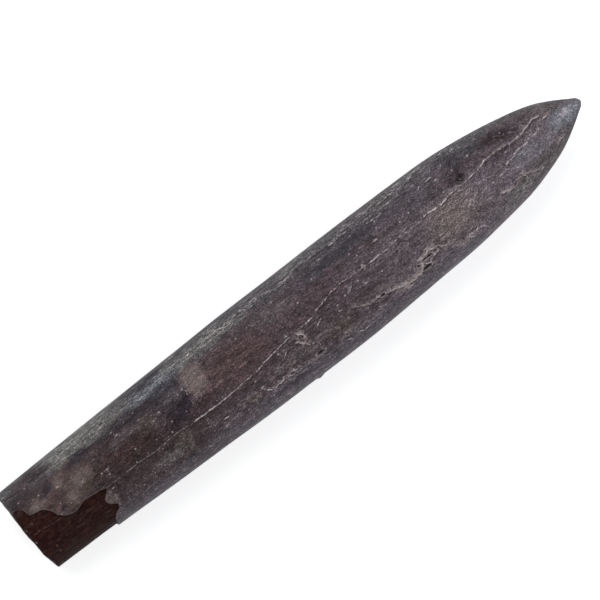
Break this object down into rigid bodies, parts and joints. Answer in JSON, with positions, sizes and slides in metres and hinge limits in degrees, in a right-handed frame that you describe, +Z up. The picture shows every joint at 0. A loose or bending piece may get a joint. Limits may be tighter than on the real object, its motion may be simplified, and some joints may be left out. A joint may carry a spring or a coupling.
{
  "type": "belemnite fossil",
  "caption": "Belemnite guard: a bullet-shaped calcite fossil, lying on its belly, with a blunt pointed apex and a broken stump end.",
  "frame": {"origin": "on the surface it rests on, below the middle of its box", "axes": "+X along the guard, from the broken stump to the apex; +Y to its left flank; +Z up, from the belly it rests on to the back"},
  "size_m": [0.0846, 0.0133, 0.0122],
  "materials": {
    "fossil_calcite": "Dense dark brown and grey-purple calcite, worn smooth to a soft gloss, with thin pale veins along it and a matt dark brown scar where a layer has spalled off."
  },
  "bodies": {
    "root": {"guard": "fossil_calcite"}
  },
  "joints": []
}
